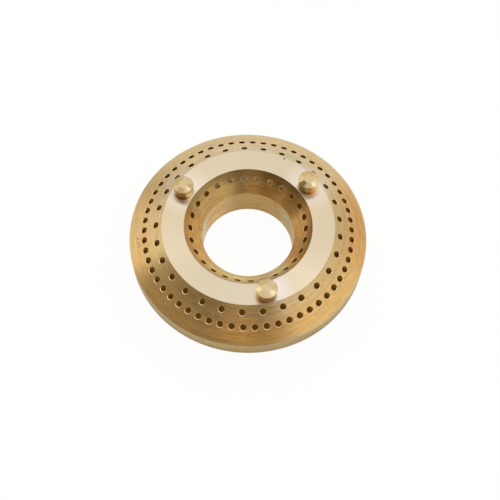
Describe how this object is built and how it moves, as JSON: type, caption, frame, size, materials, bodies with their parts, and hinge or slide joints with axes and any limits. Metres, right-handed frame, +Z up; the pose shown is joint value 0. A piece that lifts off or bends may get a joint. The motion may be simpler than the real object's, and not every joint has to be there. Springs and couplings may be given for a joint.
{
  "type": "gas hob burner ring",
  "caption": "Turned brass outer flame ring of a two-ring gas hob burner: drilled conical faces around a flat top, an open bore, and small round studs.",
  "frame": {"origin": "on the ring's axis, in the plane of the lowest edges of the collar and the spigot", "axes": "+Z up the ring's axis, out of the flat top; -Y towards the viewer of the picture"},
  "size_m": [0.1, 0.1, 0.0275],
  "materials": {
    "ring_brass": "fine turned satin",
    "stud_brass": "bright turned"
  },
  "bodies": {
    "root": {"burner_ring": "ring_brass", "stud_right": "stud_brass", "stud_left": "stud_brass", "stud_front": "stud_brass"}
  },
  "joints": []
}
